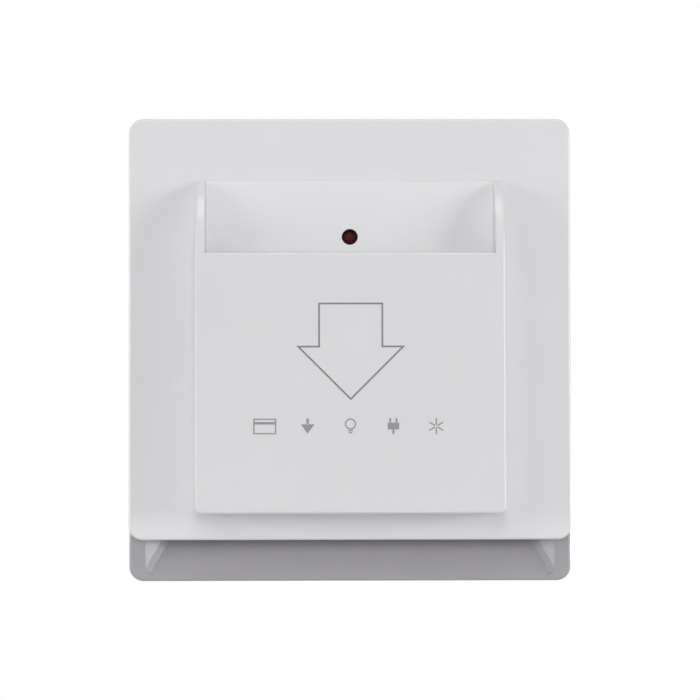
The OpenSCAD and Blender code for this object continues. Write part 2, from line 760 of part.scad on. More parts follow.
module rear_housing() {
    floor_z = -housing_depth;
    notch_half_w = block_w / 2 + free_gap;
    notch_front = board_rear - sill;
    notch_top = block_y1 + free_gap;
    vent_w = 1.4;
    vent_len = 12;
    vent_count = 5;
    vent_step = 4;
    color("gainsboro") on_wall() difference() {
        union() {
            difference() {
                translate([0, 0, floor_z]) linear_extrude(housing_front - floor_z)
                    round_rect(housing_w, housing_h, housing_corner_r);
                translate([0, 0, floor_z + housing_wall]) linear_extrude(housing_front - floor_z)
                    round_rect(housing_inner_w, housing_inner_h, housing_corner_r - housing_wall);
            }
            for (sx = [-1, 1], sy = [-1, 1]) translate([sx * pillar_x, sy * pillar_y, floor_z + eps])
                cylinder(h = board_rear - floor_z - eps, r = pillar_r);
        }
        for (sx = [-1, 1], sy = [-1, 1]) translate([sx * pillar_x, sy * pillar_y, floor_z]) {
            translate([0, 0, -eps]) cylinder(h = housing_depth, r = housing_clear_r);
            translate([0, 0, -eps]) cylinder(h = housing_head_well + eps, r = housing_head_r + fit_gap);
        }
        block([-notch_half_w, -housing_h, floor_z - 1],
              [notch_half_w, notch_top, floor_z + housing_wall + eps]);
        block([-notch_half_w, -housing_h, floor_z - 1],
              [notch_half_w, eps - housing_inner_h / 2, notch_front]);
        for (i = [0 : vent_count - 1])
            translate([relay_at[0] + (i - (vent_count - 1) / 2) * vent_step, relay_at[1], floor_z - 1])
                linear_extrude(housing_wall + 2) round_rect(vent_w, vent_len, vent_w / 2 - eps);
    }
}

module housing_screws() {
    seat = housing_head_well - housing_depth;
    color("silver") on_wall() for (sx = [-1, 1], sy = [-1, 1])
        translate([sx * pillar_x, sy * pillar_y, seat]) rotate([180, 0, 0])
            pan_screw(housing_screw_d, housing_screw_tip - seat, housing_head_r, housing_head_t);
}

// Circuit board and its components

// Feet of the two-lead parts on the board, [x, y]
lead_spots = concat(
    [for (s = [-1, 1]) film_cap_at + [0, s * film_cap_lead_y]],
    [for (s = [-1, 1]) can_at + [s * can_lead_x, 0]],
    [for (s = [-1, 1]) disc_at + [0, s * disc_lead_y]],
    [for (y = resistor_rows, s = [-1, 1]) [resistor_x + s * (resistor_len / 2 + lead_bend), y]],
    [for (x = diode_xs, s = [-1, 1]) [x, diode_y + s * (diode_len / 2 + lead_bend)]],
    [for (i = poles) transistor_at + [i * chip_leg_pitch, 0]]
);
// Height at which each of those leads meets its part, measured back from the board
lead_rises = concat(
    [for (i = [0 : 3]) 0],
    [for (i = [0, 1]) disc_lead_rise],
    [for (i = [0 : 2 * len(resistor_rows) - 1]) resistor_r + fit_gap + lead_r],
    [for (i = [0 : 2 * len(diode_xs) - 1]) diode_r + fit_gap + lead_r],
    [for (i = poles) transistor_foot]
);
relay_pin_spots = concat(
    [for (s = [-1, 1]) relay_at + [-relay_coil_x, s * relay_pin_y]],
    [for (x = relay_contact_xs) relay_at + [x, relay_pin_y]],
    [relay_at + [relay_contact_xs[1], -relay_pin_y]]
);
switch_leg_spots = [for (i = [-1, 0, 1]) [i * switch_leg_pitch, finger_y]];
lamp_leg_spots = [for (s = [-1, 1]) [s * lamp_leg_x, lamp_y]];

module circuit_board() {
    color("darkgreen") on_wall() difference() {
        translate([0, 0, board_rear]) linear_extrude(board_t) round_rect(board_w, board_h, board_corner_r);
        translate([0, 0, board_rear - 1]) linear_extrude(board_t + 2) {
            for (p = lead_spots) translate(p) circle(lead_hole_r);
            for (p = relay_pin_spots) translate(p) circle(relay_pin_r + fit_gap);
            for (p = switch_leg_spots) translate(p) circle(lead_hole_r);
            for (p = lamp_leg_spots) translate(p) circle(lamp_leg_r + fit_gap);
            for (sx = [-1, 1], sy = [-1, 1])
                translate([sx * pillar_x, sy * pillar_y]) circle(housing_clear_r);
            for (i = poles) translate([i * pole_pitch - bar_half_w / 2 - fit_gap, bar_leg_y - fit_gap])
                square([bar_half_w + 2 * fit_gap, bar_t + 2 * fit_gap]);
        }
    }
}

module relay_case() {
    color("royalblue") on_wall() translate([relay_at[0], relay_at[1], board_rear - relay_h])
        linear_extrude(relay_h) round_rect(relay_size[0], relay_size[1], 0.8);
}

module relay_pins() {
    color("silver") on_wall() for (p = relay_pin_spots)
        translate([p[0], p[1], board_rear]) cylinder(h = board_t + lead_past_board, r = relay_pin_r);
}

module film_capacitor() {
    color("gold") on_wall()
        translate([film_cap_at[0], film_cap_at[1], board_rear - film_cap_size[2]])
            linear_extrude(film_cap_size[2]) round_rect(film_cap_size[0], film_cap_size[1], 0.6);
}

module smoothing_capacitor() {
    groove = 0.5;
    color("midnightblue") on_wall() translate([can_at[0], can_at[1], board_rear]) rotate([180, 0, 0])
        rotate_extrude() difference() {
            square([can_r, can_h]);
            translate([can_r + groove * 0.4, 2]) circle(groove);
            translate([-1, can_h - 0.3]) square([can_r * 0.8 + 1, 1]);
        }
}

module surge_varistor() {
    color("steelblue") on_wall()
        translate([disc_at[0] - disc_t / 2, disc_at[1], board_rear - disc_r - disc_foot])
            rotate([0, 90, 0]) cylinder(h = disc_t, r = disc_r);
}

module resistors() {
    color("tan") on_wall() for (y = resistor_rows)
        translate([resistor_x - resistor_len / 2, y, board_rear - resistor_r - fit_gap]) rotate([0, 90, 0])
            cylinder(h = resistor_len, r = resistor_r);
}

module rectifier_diodes() {
    color("black") on_wall() for (x = diode_xs)
        translate([x, diode_y + diode_len / 2, board_rear - diode_r - fit_gap]) rotate([90, 0, 0])
            cylinder(h = diode_len, r = diode_r);
}

module driver_transistor() {
    top = board_rear - transistor_foot - transistor_h;
    color("black") on_wall() translate([transistor_at[0], transistor_at[1], top])
        linear_extrude(transistor_h) difference() {
            circle(transistor_r);
            translate([-2 * transistor_r, transistor_r * transistor_flat])
                square([4 * transistor_r, transistor_r]);
        }
}

module timer_chip() {
    color("black") on_wall() translate([chip_at[0], chip_at[1], board_front + fit_gap])
        linear_extrude(chip_size[2]) round_rect(chip_size[0], chip_size[1], 0.2);
}

module timer_chip_legs() {
    leg_w = 0.42;
    leg_t = 0.2;
    knee_y = 0.35;
    knee_z = 0.7;
    foot = 1.2;
    color("silver") on_wall() for (i = [-1.5 : 1.5], s = [0, 1])
        translate([chip_at[0] + i * chip_leg_pitch, chip_at[1], board_front]) mirror([0, s, 0])
            translate([0, chip_size[1] / 2, 0]) side_profile(-leg_w / 2, leg_w / 2) polygon([
                [0, knee_z],
                [knee_y, knee_z],
                [knee_y, 0],
                [foot, 0],
                [foot, leg_t],
                [knee_y + leg_t, leg_t],
                [knee_y + leg_t, knee_z + leg_t],
                [0, knee_z + leg_t]
            ]);
}

// Axial parts carry their leads out along the body and down, the others straight down
module component_leads() {
    color("silver") on_wall() {
        for (i = [0 : len(lead_spots) - 1])
            translate([lead_spots[i][0], lead_spots[i][1], board_rear - lead_rises[i]])
                cylinder(h = lead_rises[i] + board_t + lead_past_board, r = lead_r);
        for (y = resistor_rows, s = [-1, 1])
            translate([resistor_x + s * resistor_len / 2, y, board_rear - resistor_r - fit_gap])
                rotate([0, s * 90, 0]) cylinder(h = lead_bend, r = lead_r * lead_waist);
        for (x = diode_xs, s = [-1, 1])
            translate([x, diode_y + s * diode_len / 2, board_rear - diode_r - fit_gap])
                rotate([-s * 90, 0, 0]) cylinder(h = lead_bend, r = lead_r * lead_waist);
    }
}

module lamp() {
    dome_r = lamp_d / 2;
    color("darkred") on_wall() translate([0, lamp_y, lamp_foot]) rotate_extrude() {
        square([lamp_flange_r, lamp_flange_t]);
        square([dome_r, lamp_len - dome_r]);
        intersection() {
            translate([0, lamp_len - dome_r]) circle(dome_r);
            square([dome_r, lamp_len]);
        }
    }
}

module lamp_legs() {
    legs_end = board_rear - lead_past_board;
    color("silver") on_wall() for (p = lamp_leg_spots)
        translate([p[0], p[1], legs_end]) cylinder(h = lamp_foot - legs_end, r = lamp_leg_r);
}

module lamp_spacer() {
    color("black") on_wall() translate([0, lamp_y, board_front]) difference() {
        cylinder(h = lamp_foot - board_front, r = spacer_r);
        translate([0, 0, -eps]) cylinder(h = lamp_foot - board_front + 2 * eps, r = spacer_bore_r);
    }
}

// Detector switch, lever, pin and spring

module switch_case() {
    color("black") on_wall() difference() {
        translate([0, finger_y, board_front]) linear_extrude(switch_rise)
            round_rect(switch_w, switch_h, switch_corner_r);
        translate([0, finger_y, plunger_top - plunger_stroke - switch_well])
            cylinder(h = switch_rise, r = plunger_r + run_gap);
    }
}

module switch_legs() {
    color("silver") on_wall() for (p = switch_leg_spots)
        translate([p[0], p[1], board_rear - lead_past_board])
            cylinder(h = board_t + lead_past_board, r = lead_r);
}

module switch_plunger() {
    crown = 0.3;
    body = plunger_top - crown - switch_top + 1;
    color("ivory") on_wall() translate([0, finger_y, switch_top - 1]) {
        cylinder(h = body, r = plunger_r);
        translate([0, 0, body]) cylinder(h = crown, r1 = plunger_r, r2 = plunger_r - crown);
    }
}

module lever_arm_section() {
    polygon([
        [arm_top, arm_rear],
        [arm_top, arm_front - arm_step],
        [guide_window_top - arm_step, arm_front],
        [nose_y - nose_heel, arm_front],
        [nose_y - nose_heel, arm_rear + arm_thick],
        [finger_y - finger_heel, arm_rear]
    ]);
}

// The nose's upper face is a ramp that the card's edge rides over
module lever_nose_section() {
    translate([nose_y, nose_tip - nose_tip_r]) circle(nose_tip_r);
    polygon([
        [guide_window_top - 1, arm_front - eps],
        [nose_y + nose_tip_r * 0.7, nose_tip - nose_tip_r * 0.29],
        [nose_y, nose_tip - nose_tip_r],
        [nose_y - nose_tip_r, nose_tip - nose_tip_r],
        [nose_y - nose_heel, arm_front - eps]
    ]);
}

module card_lever() {
    hub_left = -arm_half_w;
    color("white") on_wall() difference() {
        union() {
            side_profile(-arm_half_w, arm_half_w) lever_arm_section();
            side_profile(-nose_half_w, nose_half_w) lever_nose_section();
            side_profile(hub_left, hub_right) {
                translate([pivot_y, pivot_z]) circle(hub_r);
                translate([arm_top - eps, arm_rear])
                    square([pivot_y - arm_top, arm_front - arm_step - arm_rear]);
                translate([pivot_y, panel_front + fit_gap]) square([tail_end - pivot_y, tail_t]);
            }
            block([-finger_half_w, finger_y - finger_half_h, finger_end],
                  [finger_half_w, finger_y + finger_half_h, arm_rear + arm_thick]);
        }
        translate([hub_left - 1, pivot_y, pivot_z]) rotate([0, 90, 0])
            cylinder(h = 2 * arm_half_w + 2, r = pin_r + run_gap);
    }
}

module lever_pin() {
    pin_len = lever_bay + 2 * ear_t;
    color("silver") on_wall() translate([-pin_len / 2, pivot_y, pivot_z]) rotate([0, 90, 0])
        cylinder(h = pin_len, r = pin_r);
}

// The coil goes round the pin: one leg lies behind the lever's arm, the other on the panel
spring_right = spring_left + spring_turns * spring_pitch;
spring_coil = [for (i = [0 : spring_turns * spring_rings])
    let (a = -90 + 360 * i / spring_rings)
    [spring_right - spring_pitch * i / spring_rings,
     pivot_y + spring_r * cos(a),
     pivot_z + spring_r * sin(a)]];
spring_path = concat(
    [[spring_right, pivot_y - spring_reach, pivot_z - spring_r],
     [spring_right, pivot_y - spring_reach / 2, pivot_z - spring_r]],
    spring_coil,
    [[spring_left, pivot_y + spring_tail[0], pivot_z - spring_r],
     [spring_left, pivot_y + spring_tail[1], panel_front + spring_wire / 2 + run_gap]]
);
echo(spring_gap_mm = spring_pitch - spring_wire);

module lever_spring() {
    color("silver") on_wall() wire(spring_path, spring_wire, spring_sides);
}

// Terminals

// Box at a pole, with its depths measured back from the board
module pole_box(x0, x1, y0, y1, d0, d1) {
    block([x0, y0, board_rear - d1], [x1, y1, board_rear - d0]);
}

module terminal_block() {
    cavity_half_w = cage_w / 2 + cage_gap;
    cage_y0 = clamp_y - cage_h / 2 - cage_gap;
    color("dimgray") on_wall() difference() {
        pole_box(-block_w / 2, block_w / 2, block_y0, block_y1, 0, block_depth);
        pole_box(-block_w, block_w, block_y0 - 1, free_gap - housing_inner_h / 2, -1, sill + free_gap);
        for (i = poles) translate([i * pole_pitch, 0, 0]) {
            pole_box(-cavity_half_w, cavity_half_w, cage_y0, cage_back_y, -1, shelf_depth);
            pole_box(-wire_half_w, wire_half_w, block_y0 - 1, cage_y0 + eps,
                     bar_depth - bar_t - wire_gap + cage_gap, bar_depth - bar_t - cage_gap);
            pole_box(-bar_half_w - fit_gap, bar_half_w + fit_gap,
                     cage_back_y - eps, bar_leg_y + bar_t + fit_gap, -1, bar_depth + fit_gap);
            translate([0, clamp_y, board_rear - block_depth - 1])
                cylinder(h = block_depth, r = clamp_screw_d / 2 + run_gap);
            translate([0, clamp_y, board_rear - block_depth - 1])
                cylinder(h = clamp_head_t + 1, r = clamp_head_r + fit_gap);
        }
    }
}

module terminal_bars() {
    color("goldenrod") on_wall() for (i = poles) translate([i * pole_pitch, 0, 0]) {
        pole_box(-bar_half_w, bar_half_w, clamp_y - cage_h / 2 + cage_gap, bar_leg_y + bar_t,
                 bar_depth - bar_t, bar_depth);
        pole_box(-bar_half_w / 2, bar_half_w / 2, bar_leg_y, bar_leg_y + bar_t,
                 -board_t - lead_past_board, bar_depth - bar_t + eps);
    }
}

module terminal_screw(i) {
    slot_w = 0.8;
    shank = shelf_depth + clamp_shelf_t - bar_depth - free_gap;
    color("silver") on_wall() translate([i * pole_pitch, clamp_y, board_rear - shelf_depth - clamp_shelf_t])
        difference() {
            union() {
                translate([0, 0, -clamp_head_t]) cylinder(h = clamp_head_t, r = clamp_head_r);
                cylinder(h = shank, d = clamp_screw_d);
            }
            translate([-2 * clamp_head_r, -slot_w / 2, -clamp_head_t - eps])
                cube([4 * clamp_head_r, slot_w, clamp_head_t / 2 + eps]);
        }
}

module terminal_cage(i) {
    color("silver") on_wall() translate([i * pole_pitch, 0, 0]) difference() {
        pole_box(-cage_w / 2, cage_w / 2, clamp_y - cage_h / 2, clamp_y + cage_h / 2,
                 cage_bottom_depth, cage_top_depth);
        pole_box(cage_wall - cage_w / 2, cage_w / 2 - cage_wall, clamp_y - cage_h, clamp_y + cage_h,
                 cage_bottom_depth + cage_floor_t, cage_top_depth - cage_plate);
        translate([0, clamp_y, board_rear - cage_top_depth - 1])
            cylinder(h = cage_plate + 2, r = clamp_screw_d / 2 + run_gap);
    }
}

front_plate();
card_pocket();
card_guide();
guide_screws();
base_frame();
rear_housing();
housing_screws();
circuit_board();
relay_case();
relay_pins();
film_capacitor();
smoothing_capacitor();
surge_varistor();
resistors();
rectifier_diodes();
driver_transistor();
timer_chip();
timer_chip_legs();
component_leads();
lamp();
lamp_legs();
lamp_spacer();
switch_case();
switch_legs();
switch_plunger();
card_lever();
lever_pin();
lever_spring();
terminal_block();
terminal_bars();
terminal_screw(poles[0]);  // terminal_screw_1
terminal_screw(poles[1]);  // terminal_screw_2
terminal_screw(poles[2]);  // terminal_screw_3
terminal_cage(poles[0]);  // terminal_cage_1
terminal_cage(poles[1]);  // terminal_cage_2
terminal_cage(poles[2]);  // terminal_cage_3
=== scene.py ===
# %% [markdown]
# A hotel key card switch hangs on the wall by the door: a white front with a raised
# pocket that takes the room's card, a small red lamp in the pocket's mouth, and a grey
# base whose lip shows under the front. The solids come from the packed model, already in
# place and in metres. This script gives them their finishes, adds the print and the
# moulded marks that a solid model leaves out, and sets up the picture.

# %% Load the packed model
import json
import math

import bmesh
import bpy
from mathutils import Matrix, Vector


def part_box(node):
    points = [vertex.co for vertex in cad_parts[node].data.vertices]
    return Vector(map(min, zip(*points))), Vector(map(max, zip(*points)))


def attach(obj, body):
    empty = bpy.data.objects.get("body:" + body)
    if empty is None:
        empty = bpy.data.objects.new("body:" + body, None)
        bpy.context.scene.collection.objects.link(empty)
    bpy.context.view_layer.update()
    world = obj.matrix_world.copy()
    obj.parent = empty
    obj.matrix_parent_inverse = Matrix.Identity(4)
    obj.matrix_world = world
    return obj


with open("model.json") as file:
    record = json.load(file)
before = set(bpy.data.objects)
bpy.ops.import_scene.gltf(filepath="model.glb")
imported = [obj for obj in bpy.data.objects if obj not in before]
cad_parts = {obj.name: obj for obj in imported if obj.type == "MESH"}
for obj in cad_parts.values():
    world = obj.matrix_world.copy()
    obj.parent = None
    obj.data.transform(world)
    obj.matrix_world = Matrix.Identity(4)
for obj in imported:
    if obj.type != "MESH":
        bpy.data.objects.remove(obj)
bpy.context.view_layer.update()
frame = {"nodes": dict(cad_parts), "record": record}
nodes = frame["nodes"]
scene = bpy.context.scene
MM = 0.001


# %% [markdown]
# The part is drawn as one looks at it on the wall: x to the right, y up, z towards the
# viewer. The model stands upright instead, with its front towards -Y. A quarter turn
# about X takes one to the other, so places can be written in the easier way, in mm.

# %% From the wall's view to the model's frame
WALL_TURN = Matrix.Rotation(math.pi / 2, 3, "X")
WALL = WALL_TURN.to_4x4() @ Matrix.Scale(MM, 4)


def on_wall(x, y, z):
    return WALL @ Vector((x, y, z))


print("a point 10 mm in front of the wall lies at", tuple(round(v, 4) for v in on_wall(0, 0, 10)))

# %% [markdown]
# The photograph was taken from about the front with a long lens, a little from below and
# tilted up. Fitting the plate's and the pocket's edges gave the eye's place, three small
# angles and the focal length in pixels. Without any shift of the lens, the same camera
# also serves every other view.

# %% Camera
PICTURE_PX = 700
SENSOR_MM = 36
EYE_MM = (-5.94, -27.58, 600)
EYE_TILT, EYE_PAN, EYE_ROLL = -0.0464, 0.01009, 0.0015
FOCAL_PX = 3040.7
NEAREST_SEEN = 0.01

to_camera = (
    Matrix.Rotation(EYE_ROLL, 3, "Z")
    @ Matrix.Rotation(EYE_PAN, 3, "Y")
    @ Matrix.Rotation(EYE_TILT, 3, "X")
)
camera_data = bpy.data.cameras.new("camera")
camera_data.sensor_width = SENSOR_MM
camera_data.lens = FOCAL_PX * SENSOR_MM / PICTURE_PX
camera_data.clip_start = NEAREST_SEEN
camera_data.dof.use_dof = False
camera = bpy.data.objects.new("camera", camera_data)
scene.collection.objects.link(camera)
eye_turn = (WALL_TURN @ to_camera.transposed()).to_4x4()
camera.matrix_world = Matrix.Translation(on_wall(*EYE_MM)) @ eye_turn
scene.camera = camera
print("lens", round(camera_data.lens, 1), "mm at", tuple(round(v, 3) for v in camera.location))

# %% [markdown]
# Shaders are sums of values, and a sum is easier to read as one than as a web of nodes.
# This class wraps one socket, so that arithmetic on it adds the Math nodes by itself.
# Every other node comes from its one method: type, settings, then sockets.


# %% Shader sums
class Wire:
    """A socket in a node tree; arithmetic on it adds Math nodes."""

    def __init__(self, tree, socket=None):
        self.tree = tree
        self.socket = socket

    def node(self, kind, settings=None, sockets=None, out=0):
        made = self.tree.nodes.new(kind)
        for key, value in (settings or {}).items():
            setattr(made, key, value)
        for key, value in (sockets or {}).items():
            if isinstance(value, Wire):
                self.tree.links.new(value.socket, made.inputs[key])
            else:
                made.inputs[key].default_value = value
        return Wire(self.tree, made.outputs[out] if made.outputs else None)

    def math(self, operation, first, second=0.0):
        return self.node("ShaderNodeMath", {"operation": operation}, {0: first, 1: second})

    def __add__(self, other):
        return self.math("ADD", self, other)

    def __sub__(self, other):
        return self.math("SUBTRACT", self, other)

    def __mul__(self, other):
        return self.math("MULTIPLY", self, other)

    def __truediv__(self, other):
        return self.math("DIVIDE", self, other)

    def __lt__(self, other):
        return self.math("LESS_THAN", self, other)

    def __abs__(self):
        return self.math("ABSOLUTE", self)

    __radd__ = __add__
    __rmul__ = __mul__


def empty_tree(owner):
    """The cleared node tree of a world or a material, as a Wire to start from."""
    owner.use_nodes = True
    owner.node_tree.nodes.clear()
    return Wire(owner.node_tree)


print("a Wire has", sum(callable(member) for member in vars(Wire).values()), "methods")

# %% [markdown]
# A few recipes come back in every finish: noise whose patches have a size in mm, a value
# that wanders about a level, a blend of two colours, a bump, and colours that are written
# in 0 to 255 as a screen shows them.

# %% Noise, blends, bumps and colours
MIX_FACTOR, MIX_FIRST, MIX_SECOND, MIXED_COLOUR = 0, 6, 7, 2
EDGE_SAMPLES = 4
CURVE_START, CURVE_SLOPE, CURVE_OFFSET, CURVE_POWER = 0.04045, 12.92, 0.055, 2.4


def noise(spot, size_mm, detail=2.0):
    """Soft noise of about 0 to 1 whose patches are size_mm across."""
    return spot.node(
        "ShaderNodeTexNoise", None, {"Vector": spot, "Scale": 1 / (size_mm * MM), "Detail": detail}
    )


def around(level, spread, wave):
    """A value that wanders by spread about a level as the wave goes from 0 to 1."""
    return level - spread / 2 + spread * wave


def blend(factor, first, second):
    """Colour that goes from first to second as factor goes from 0 to 1."""
    return factor.node(
        "ShaderNodeMix", {"data_type": "RGBA", "clamp_factor": True},
        {MIX_FACTOR: factor, MIX_FIRST: first, MIX_SECOND: second}, out=MIXED_COLOUR,
    )


def bump(height, depth_mm, strength, edge_mm=0.0):
    """A normal that follows a height map; edge_mm rounds off sharp edges in the shading."""
    sockets = {"Height": height, "Distance": depth_mm * MM, "Strength": strength}
    if edge_mm:
        sockets["Normal"] = height.node(
            "ShaderNodeBevel", {"samples": EDGE_SAMPLES}, {"Radius": edge_mm * MM}
        )
    return height.node("ShaderNodeBump", None, sockets)


def ink(colour, shift=0):
    """A colour in 0 to 255, lighter or darker by shift, made linear by the curve of screens."""
    linear = []
    for level in colour:
        share = max(level + shift, 0) / 255
        if share <= CURVE_START:
            linear.append(share / CURVE_SLOPE)
        else:
            linear.append(((share + CURVE_OFFSET) / (1 + CURVE_OFFSET)) ** CURVE_POWER)
    return (*linear, 1.0)


WHITE = ink((255, 255, 255))
print("a mid grey of 128 is", round(ink((128, 128, 128))[0], 3), "in linear light")

# %% [markdown]
# The light is that of a product studio: a pale surround, a soft box at each side, others
# above and in front, and a low one behind for the views from there. The side boxes mirror
# in whatever is turned towards them, such as the ends of the pry scoop, and a second pair
# that only grazes the front draws the bright lines on the pocket's round edges. The boxes
# stand far off, because light from a near one would spread from the middle and leave a
# dark band beside the pocket. The front one lies in the camera's line, so it is kept out
# of the mirror images. The background is white because rays from the camera, mirrors and
# glass see the surround at full strength, while the object itself is lit by a weaker one.

# %% Light
SURROUND = 0.25
SOFT_BOXES = {
    "right_box": {"place": (0.8, -0.42, 0.04), "size": (0.36, 0.24), "watts": 3.1},
    "left_box": {"place": (-0.8, -0.42, 0.04), "size": (0.36, 0.24), "watts": 2.1},
    "right_edge_box": {"place": (0.9, -0.14, 0.0), "size": (0.2, 0.3), "watts": 1.0},
    "left_edge_box": {"place": (-0.9, -0.14, 0.0), "size": (0.2, 0.3), "watts": 1.05},
    "upper_left_box": {"place": (-0.74, -0.94, 0.74), "size": (0.3, 0.3), "watts": 1.9},
    "top_box": {"place": (0.0, -0.43, 1.18), "size": (0.25, 0.75), "watts": 3.9},
    "front_box": {"place": (0.0, -0.9, 0.13), "size": (0.15, 0.55), "watts": 1.38},
    "back_box": {"place": (0.3, 0.9, -0.06), "size": (0.3, 0.1), "watts": 2.6},
}
OUT_OF_MIRRORS = ("front_box",)


def sees_white(start):
    """1 for rays that come from the camera or by way of mirrors and glass."""
    rays = [start.node("ShaderNodeLightPath", out=name)
            for name in ("Is Camera Ray", "Is Glossy Ray", "Is Transmission Ray")]
    total = rays[0] + rays[1] + rays[2]
    return total.math("MINIMUM", total, 1.0)


scene.world = bpy.data.worlds.new("surround")
start = empty_tree(scene.world)
strength = SURROUND + (1 - SURROUND) * sees_white(start)
background = start.node("ShaderNodeBackground", None, {"Color": WHITE, "Strength": strength})
start.node("ShaderNodeOutputWorld", None, {"Surface": background})

for name, box in SOFT_BOXES.items():
    light_data = bpy.data.lights.new(name, "AREA")
    light_data.shape = "RECTANGLE"
    light_data.size, light_data.size_y = box["size"]
    light_data.energy = box["watts"]
    light = bpy.data.objects.new(name, light_data)
    scene.collection.objects.link(light)
    light.location = box["place"]
    light.rotation_euler = light.location.to_track_quat("Z", "Y").to_euler()
    light.visible_camera = False
    light.visible_glossy = name not in OUT_OF_MIRRORS
scene.view_settings.view_transform = "Standard"
print("soft boxes", len(SOFT_BOXES), "of", round(sum(box["watts"] for box in SOFT_BOXES.values()), 2), "W")

# %% [markdown]
# The floor is paper that lies well below the part, since the part hangs on a wall, and it
# still takes a shadow. Seen from the camera it is lifted a little by a glow of its own,
# and towards its edge it fades to the white of the background, so that no rim shows.

# %% Floor
FLOOR_Z = -0.13
FLOOR_SIDE = 1.3
FLOOR_LIFT = 0.5
FADE_START, FADE_END = 0.2, 0.6
PAPER_MM = 40
PAPER_DARK, PAPER_PALE = (236, 236, 236), (240, 240, 240)

floor_finish = bpy.data.materials.new("floor")
start = empty_tree(floor_finish)
spot = start.node("ShaderNodeTexCoord", out="Object")
paper = blend(noise(spot, PAPER_MM), ink(PAPER_DARK), ink(PAPER_PALE))
matt = start.node("ShaderNodeBsdfDiffuse", None, {"Color": paper})
glow = {"Color": WHITE, "Strength": FLOOR_LIFT * sees_white(start)}
lift = start.node("ShaderNodeEmission", None, glow)
both = start.node("ShaderNodeAddShader", None, {0: matt, 1: lift})
white = start.node("ShaderNodeEmission", None, {"Color": WHITE, "Strength": sees_white(start)})
radius = start.node("ShaderNodeVectorMath", {"operation": "LENGTH"}, {0: spot}, out="Value")
fade = (radius - FADE_START) / (FADE_END - FADE_START)
faded = start.node("ShaderNodeMixShader", None, {0: fade, 1: both, 2: white})
start.node("ShaderNodeOutputMaterial", None, {"Surface": faded})

bm = bmesh.new()
bmesh.ops.create_grid(bm, x_segments=1, y_segments=1, size=FLOOR_SIDE / 2,
                      matrix=Matrix.Translation((0, 0, FLOOR_Z)))
floor_mesh = bpy.data.meshes.new("floor")
bm.to_mesh(floor_mesh)
bm.free()
floor_mesh.materials.append(floor_finish)
floor = bpy.data.objects.new("floor", floor_mesh)
scene.collection.objects.link(floor)

# %% [markdown]
# Most of the part is injection-moulded plastic. Up close, such a surface is never one flat
# colour: the mould's fine spark-eroded grain breaks up the shine, the tone drifts a little
# where the melt flowed, and the gloss varies. Noise at three scales on the part's own
# coordinates gives all of that, the same from every side. No moulded edge is knife-sharp
# either. The front plate's soft edge is in its solid; on the other pieces a bevel in the
# shading rounds each edge by about a quarter of a millimetre.

# %% Moulded plastics
FLOW_MM, GLOSS_MM = 22, 2.5
GLOSS_SPREAD = 0.08
GRAIN_DEPTH_MM, GRAIN_STRENGTH = 0.006, 0.5
SOCKETS = {"colour": "Base Color", "rough": "Roughness", "normal": "Normal"}
finishes = {}


def new_finish(name):
    """A material with a plain shader, kept under its name, and the place on the part as a Wire."""
    finish = bpy.data.materials.new(name)
    start = empty_tree(finish)
    shader = start.tree.nodes.new("ShaderNodeBsdfPrincipled")
    output = start.tree.nodes.new("ShaderNodeOutputMaterial")
    start.tree.links.new(shader.outputs[0], output.inputs[0])
    finishes[name] = finish
    return shader, start.node("ShaderNodeTexCoord", out="Object")


def feed(shader, **wires):
    """Links values that change over the surface to the shader's sockets."""
    for key, wire in wires.items():
        wire.tree.links.new(wire.socket, shader.inputs[SOCKETS[key]])


def moulded(name, colour, rough, drift=6, grain_mm=0.16, edge_mm=0.25):
    shader, spot = new_finish(name)
    flow = noise(spot, FLOW_MM, detail=3.0)
    grain = noise(spot, grain_mm, detail=1.0)
    feed(
        shader,
        colour=blend(flow, ink(colour, -drift), ink(colour)),
        rough=around(rough, GLOSS_SPREAD, noise(spot, GLOSS_MM)),
        normal=bump(grain, GRAIN_DEPTH_MM, GRAIN_STRENGTH, edge_mm),
    )


# The front, the pocket and the guide are moulded of one white, and their tones differ only as painted
# light. The guide's white is lighter, a painted lift against the shade that the cheeks cast in the pocket's
# mouth. The pocket's white is a little darker than the front's, as painted shade.
moulded("front_white", (224, 224, 226), rough=0.3, edge_mm=0.0)
moulded("pocket_white", (219, 219, 221), rough=0.3)
moulded("guide_white", (229, 229, 231), rough=0.3)
moulded("base_grey", (163, 161, 165), rough=0.31, drift=5, edge_mm=0.3)
moulded("housing_white", (214, 214, 210), rough=0.5, drift=8, grain_mm=0.3)
moulded("terminal_grey", (92, 95, 98), rough=0.45, drift=8)
moulded("relay_blue", (38, 84, 160), rough=0.35, drift=10, grain_mm=0.4)
moulded("switch_black", (30, 30, 32), rough=0.4)
moulded("plunger_ivory", (226, 218, 196), rough=0.35)
moulded("lever_white", (228, 229, 228), rough=0.36)
print("moulded finishes", sorted(finishes))

# %% [markdown]
# The metal pieces are plated: zinc on the screws and cages, tin on the wires, bare brass
# on the bars. Plating shows fine drawn or turned lines and a cloudy shine. Noise that is
# stretched along one direction gives the lines, and they set both gloss and bump.

# %% Plated metals
LINE_MM, LINE_DEPTH_MM, LINE_STRENGTH = 0.12, 0.004, 0.4
LINE_SPREAD = 0.16
CLOUD_MM, CLOUD_DRIFT = 1.6, 30
ALL_ROUND = (1.0, 1.0, 1.0)
ALONG_DEPTH = (1.0, 0.08, 1.0)
ALONG_WIDTH = (0.08, 1.0, 1.0)


def plated(name, colour, rough, lines=ALL_ROUND):
    shader, spot = new_finish(name)
    stretched = spot.node("ShaderNodeMapping", None, {"Vector": spot, "Scale": lines})
    drawn = noise(stretched, LINE_MM, detail=3.0)
    cloud = noise(spot, CLOUD_MM, detail=3.0)
    feed(
        shader,
        colour=blend(cloud, ink(colour, -CLOUD_DRIFT), ink(colour)),
        rough=around(rough, LINE_SPREAD, drawn),
        normal=bump(drawn, LINE_DEPTH_MM, LINE_STRENGTH),
    )
    shader.inputs["Metallic"].default_value = 1.0


